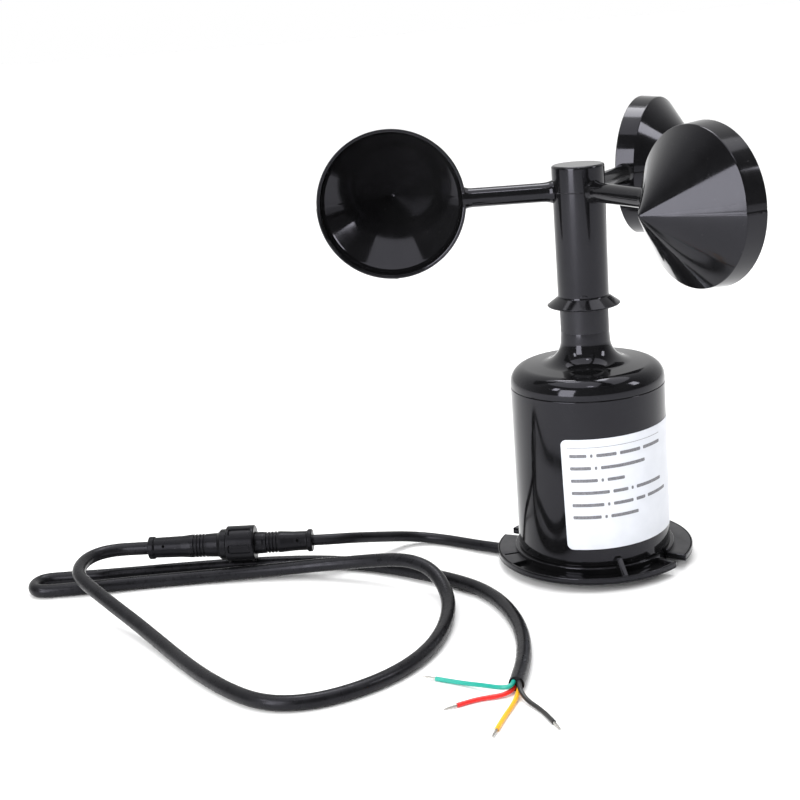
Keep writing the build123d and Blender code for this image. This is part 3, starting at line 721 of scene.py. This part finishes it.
def add_socket_boot():
    """The sensor's half: flared end, tapering boot, grooves and the shoulder under the nut."""
    flared = [(0, 0.02), (4.6, 0.02), (4.95, 0.4), (4.95, 1.8), (4.2, 2.6), (4.25, 8.0)]
    shoulder = [(4.8, 22.2), (4.8, 27.5), (6.1, 27.5), (6.1, 29.0), (4.6, 29.0), (4.6, 36.4), (0, 36.4)]
    points = flared + grooved(15.2, 4.65, 14.0, 21.4) + shoulder
    radii = [0, 0.3, 0.3, 0.3, 0.8, 3.0] + groove_radii + [0.3] + [0.3, 0.1, 0.2, 0.2, 0.1, 0.3, 0]
    return add_boot("socket_boot", "lead_socket", points, radii, (-68, 6.4, 4.24))


def add_plug_boot():
    """The cable's half: threaded sleeve under the nut, collar, grooves, tapering boot and flared end."""
    sleeve = [(0, 37.6), (4.8, 37.6), (4.8, 29.6), (5.9, 29.6), (6.2, 30.0), (6.2, 37.9)]
    collar = [(6.75, 38.0), (6.75, 40.4), (5.3, 42.0)]
    flared = [(4.7, 58.0), (4.5, 70.2), (5.0, 70.9), (5.0, connector_end), (0, connector_end)]
    points = sleeve + collar + grooved(47.5, 5.1, 46.4, 54.0) + flared
    radii = [0, 0.1, 0.1, 0.2, 0.1, 0] + [0.3, 0.4, 0.6] + groove_radii + [1.5] + [2.0, 0.5, 0.2, 0.3, 0]
    return add_boot("plug_boot", "plug_body", points, radii, (-66, 66.0, 4.58))


def add_nut():
    """The coupling nut: six wide grip recesses sunk in its rim."""
    near, far, segments, bore_back = 25.4, 37.9, 320, 27.2
    section = [(5.0, near), (nut_radius, near), (nut_radius, far)]
    section += [(6.45, far), (6.45, bore_back), (5.0, bore_back)]
    outline = rounded(section, [0.2, 0.7, 0.6, 0.2, 0.1, 0.1], 6)
    profile, ring_gap = [], 0.25
    for index, (radius, height) in enumerate(outline):
        profile.append((radius, height))
        after = outline[(index + 1) % len(outline)]
        if abs(radius - nut_radius) < 1e-3 and abs(after[0] - nut_radius) < 1e-3:
            count = max(1, round((after[1] - height) / ring_gap))
            profile += [(nut_radius, height + (after[1] - height) * k / count) for k in range(1, count)]
    nut = lathe(profile, segments)
    first_recess, pitch, half_width, half_length, corner, depth, wall = 31, 60, 1.1, 3.9, 0.85, 0.7, 0.18
    for vert in nut.verts:
        reach = math.hypot(vert.co.x, vert.co.y)
        if reach < nut_radius - 0.1:
            continue
        turn = (math.degrees(math.atan2(vert.co.y, vert.co.x)) - first_recess) % pitch
        across = max(0, min(turn, pitch - turn) * math.radians(reach) - half_width)
        along = max(0, abs(vert.co.z - (near + far) / 2) - half_length)
        inside = corner - math.hypot(across, along)
        scale = (reach - depth * min(1, max(0, inside / wall + 0.5))) / reach
        vert.co.x *= scale
        vert.co.y *= scale
    return add_piece("nut_grip", [moved(nut, connector_frame)], connector_black, "nut", "coupling_nut")


# ---- cords: routes in metres ----
lead_route = [
    (-0.0322, 0.005, 0.003), (-0.0422, 0.0108, 0.003), (-0.0506, 0.0172, 0.0026),
    (-0.0584, 0.0233, 0.00242), (-0.0662, 0.0284, 0.00242), (-0.0738, 0.0312, 0.0029),
    (-0.0814, 0.03, 0.0044), (-0.0882, 0.0254, 0.0066), (-0.0944, 0.0199, 0.009),
    (-0.1002, 0.0142, 0.0114), (-0.1069, 0.009, 0.0136), (-0.1147, 0.00645, 0.0146),
    (-0.1227, 0.0071, 0.0146),
]
cable_route = [
    (-0.1955, 0.013, 0.0146), (-0.20286, 0.0136, 0.0146), (-0.21001, 0.0139, 0.0146),
    (-0.21637, 0.012, 0.0146), (-0.22081, 0.0074, 0.0146), (-0.22307, 0.001, 0.0146),
    (-0.22358, -0.006, 0.0143), (-0.22221, -0.0128, 0.0135), (-0.21756, -0.0196, 0.0122),
    (-0.21047, -0.0283, 0.0103), (-0.20187, -0.0386, 0.008), (-0.192, -0.0507, 0.0057),
    (-0.1815, -0.0654, 0.0038), (-0.17074, -0.0822, 0.00295), (-0.16047, -0.0978, 0.00292),
    (-0.15038, -0.1106, 0.00292), (-0.1412, -0.1196, 0.00292), (-0.1328, -0.1241, 0.00292),
    (-0.1244, -0.1254, 0.00292), (-0.116, -0.1243, 0.00292), (-0.1074, -0.121, 0.00292),
    (-0.09848, -0.1159, 0.00292), (-0.08964, -0.1087, 0.00292), (-0.08118, -0.0989, 0.00292),
    (-0.07371, -0.0854, 0.00292), (-0.06809, -0.0669, 0.00292), (-0.06583, -0.0478, 0.0037),
    (-0.06785, -0.035, 0.007), (-0.07239, -0.0264, 0.0103), (-0.07918, -0.0204, 0.0118),
    (-0.0869, -0.0152, 0.0113), (-0.09737, -0.0099, 0.0095), (-0.10899, -0.0053, 0.0076),
    (-0.1222, -0.0012, 0.0059), (-0.1357, 0.001, 0.0046), (-0.15129, 0.0026, 0.0037),
    (-0.16898, 0.0031, 0.0031), (-0.18667, 0.0029, 0.00292), (-0.20427, 0.0022, 0.00292),
    (-0.22098, 0.001, 0.00292), (-0.2343, 0.0004, 0.00292), (-0.24358, 0.0006, 0.00292),
    (-0.24699, 0.0047, 0.00292), (-0.24708, 0.0105, 0.00292), (-0.24373, 0.0146, 0.00292),
    (-0.23395, 0.0146, 0.00292), (-0.22019, 0.0141, 0.00292), (-0.20459, 0.0142, 0.00292),
    (-0.18759, 0.0148, 0.00292), (-0.17019, 0.0151, 0.00292), (-0.1526, 0.0146, 0.00292),
    (-0.1348, 0.013, 0.00292), (-0.1172, 0.0098, 0.00292), (-0.1004, 0.0036, 0.00292),
    (-0.08587, -0.005, 0.00292), (-0.07326, -0.0144, 0.00292), (-0.06268, -0.023, 0.00292),
    (-0.05386, -0.0324, 0.00292), (-0.04725, -0.0438, 0.00292), (-0.04269, -0.0574, 0.00292),
    (-0.03993, -0.0732, 0.00292), (-0.03954, -0.089, 0.00292), (-0.04091, -0.103, 0.00292),
    (-0.04327, -0.1146, 0.00292), (-0.0456, -0.1238, 0.00292),
]
core_routes = {
    "green": [
        (-0.0466, -0.1237, 0.0039), (-0.0475, -0.1272, 0.0038), (-0.0514, -0.1264, 0.0032),
        (-0.0576, -0.1206, 0.0019),
        (-0.0656, -0.1152, 0.0009), (-0.074, -0.1104, 0.0009),
    ],
    "red": [
        (-0.0466, -0.1237, 0.0019), (-0.0474, -0.1268, 0.0018), (-0.0524, -0.1286, 0.0011),
        (-0.06, -0.1289, 0.0009),
        (-0.0674, -0.1326, 0.0009),
    ],
    "yellow": [
        (-0.0446, -0.1242, 0.0019), (-0.0456, -0.1286, 0.0012), (-0.0482, -0.136, 0.0009),
        (-0.0519, -0.1442, 0.0009),
        (-0.055, -0.1523, 0.0009),
    ],
    "black": [
        (-0.0446, -0.1242, 0.0039), (-0.0451, -0.1278, 0.0034), (-0.0432, -0.1336, 0.0016),
        (-0.0394, -0.1394, 0.0009),
        (-0.037, -0.1452, 0.0009), (-0.0354, -0.1505, 0.0009),
    ],
}


def line(name, points, diameter, material):
    """A round cord along a smooth spline through a route's control points."""
    data = bpy.data.curves.new(name, "CURVE")
    data.dimensions = "3D"
    data.bevel_depth = diameter / 2
    data.bevel_resolution = 10
    data.resolution_u = 12
    data.use_fill_caps = True
    spline = data.splines.new("NURBS")
    spline.points.add(len(points) - 1)
    for control, point in zip(spline.points, points):
        control.co = (*point, 1)
    spline.order_u = 3
    spline.use_endpoint_u = True
    return add_object(name, data, material, "base")


def add_tips():
    """Twisted tinned strands at the end of each core, as one object a core: six round a middle one."""
    strand_radius, length, sunk, circle, twist = 0.17, 5.4, 0.15, 0.36, 46
    strands, steps = 7, 13
    made = {}
    for colour, points in core_routes.items():
        start = Vector(points[-1]) / MM
        ahead = start - Vector(points[-2]) / MM
        ahead.z = 0
        ahead.normalize()
        side = Vector((-ahead.y, ahead.x, 0))
        data = bpy.data.curves.new(f"tip_{colour}", "CURVE")
        data.dimensions = "3D"
        data.bevel_depth = strand_radius * MM
        data.bevel_resolution = 3
        data.use_fill_caps = True
        for strand in range(strands):
            spline = data.splines.new("POLY")
            spline.points.add(steps)
            for step in range(steps + 1):
                along = length * step / steps
                spread = 0.0 if strand == strands - 1 else circle * (1 - 0.45 * (step / steps) ** 3)
                turn = math.radians(60 * strand + twist * along)
                offset = side * spread * math.cos(turn) + Vector((0, 0, spread * math.sin(turn)))
                place = (start + ahead * (along - sunk) + offset) * MM
                spline.points[step].co = (*place, 1)
        made[colour] = add_object(f"tip_{colour}", data, tinned, "base")
    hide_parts("core_tips")
    return made


# Each cord is as thick as its CAD tube.
lead = line("lead_cord", lead_route, 0.0048, lead_black)
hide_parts("sensor_lead")
cable = line("cable_cord", cable_route, 0.0058, cable_black)
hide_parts("extension_cable")
tips = add_tips()
core_materials = {"green": green_wire, "red": red_wire, "yellow": yellow_wire, "black": black_wire}
for colour, points in core_routes.items():
    core = line(f"wire_{colour}", points, 0.0017, core_materials[colour])
    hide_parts(f"core_{colour}")

# ---- the rest of the object ----
add_housing()
add_cover()
add_flange()
add_label()
add_hub()
for arm_number in range(3):
    add_arm(arm_number)
    add_cup(arm_number)
socket_boot = add_socket_boot()
plug_boot = add_plug_boot()
nut_grip = add_nut()


# ---- floor and light ----
def add_floor():
    """A plain pale floor, a hair below the object."""
    half = 9
    corners = [(-half, -half, 0), (half, -half, 0), (half, half, 0), (-half, half, 0)]
    mesh = bpy.data.meshes.new("floor")
    mesh.from_pydata(corners, [], [(0, 1, 2, 3)])
    floor = bpy.data.objects.new("floor", mesh)
    floor.location.z = -0.00005
    bpy.context.scene.collection.objects.link(floor)
    n = Nodes("floor_white")
    n.set(Base_Color=(0.93, 0.93, 0.93, 1), Roughness=0.7)
    n.shader.inputs["Specular IOR Level"].default_value = 0.1
    mesh.materials.append(n.material)


def add_world():
    """A white background, and a dimmer room for the light: dark at the front, brighter at the back."""
    world = bpy.data.worlds.new("world")
    bpy.context.scene.world = world
    world.use_nodes = True
    tree = world.node_tree
    seen = tree.nodes["Background"]
    seen.inputs["Color"].default_value = (1, 1, 1, 1)
    seen.inputs["Strength"].default_value = 1.0
    room = tree.nodes.new("ShaderNodeBackground")
    place = tree.nodes.new("ShaderNodeTexCoord")
    axes = tree.nodes.new("ShaderNodeSeparateXYZ")
    tree.links.new(place.outputs["Generated"], axes.inputs["Vector"])
    fade = tree.nodes.new("ShaderNodeMapRange")
    for name, value in (("From Min", -0.2), ("From Max", 0.6), ("To Min", 0.22), ("To Max", 1.1)):
        fade.inputs[name].default_value = value
    tree.links.new(axes.outputs["Y"], fade.inputs["Value"])
    tree.links.new(fade.outputs["Result"], room.inputs["Strength"])
    path = tree.nodes.new("ShaderNodeLightPath")
    blend = tree.nodes.new("ShaderNodeMixShader")
    tree.links.new(path.outputs["Is Camera Ray"], blend.inputs["Fac"])
    tree.links.new(room.outputs["Background"], blend.inputs[1])
    tree.links.new(seen.outputs["Background"], blend.inputs[2])
    tree.links.new(blend.outputs["Shader"], tree.nodes["World Output"].inputs["Surface"])


def soft_box(name, place, target, width, height, power):
    """A rectangular soft light aimed at a point, in metres and watts."""
    data = bpy.data.lights.new(name, "AREA")
    data.shape = "RECTANGLE"
    data.size = width
    data.size_y = height
    data.energy = power
    light = bpy.data.objects.new(name, data)
    light.location = place
    light.rotation_euler = (Vector(target) - Vector(place)).to_track_quat("-Z", "Y").to_euler()
    bpy.context.scene.collection.objects.link(light)


def add_overhead():
    """A very broad light from straight above, which evens the floor out."""
    data = bpy.data.lights.new("overhead", "SUN")
    data.energy = 2.2
    data.angle = math.radians(70)
    bpy.context.scene.collection.objects.link(bpy.data.objects.new("overhead", data))


add_floor()
add_world()
soft_box("front_left", (-0.78, -0.97, 0.42), (0, 0, 0.12), 0.50, 1.0, 16)
soft_box("side_left", (-0.95, -0.55, 0.85), (0, 0, 0.12), 0.18, 0.32, 2.6)
soft_box("side_right", (1.0, -0.30, 0.72), (0, 0, 0.12), 0.22, 0.38, 3.4)
soft_box("front_small", (0.0, -0.62, 1.25), (0, 0, 0.1), 0.14, 0.12, 0.7)
soft_box("top", (0.0, 0.45, 1.25), (0, 0, 0.1), 0.6, 0.4, 6.5)
add_overhead()

bpy.context.view_layer.update()
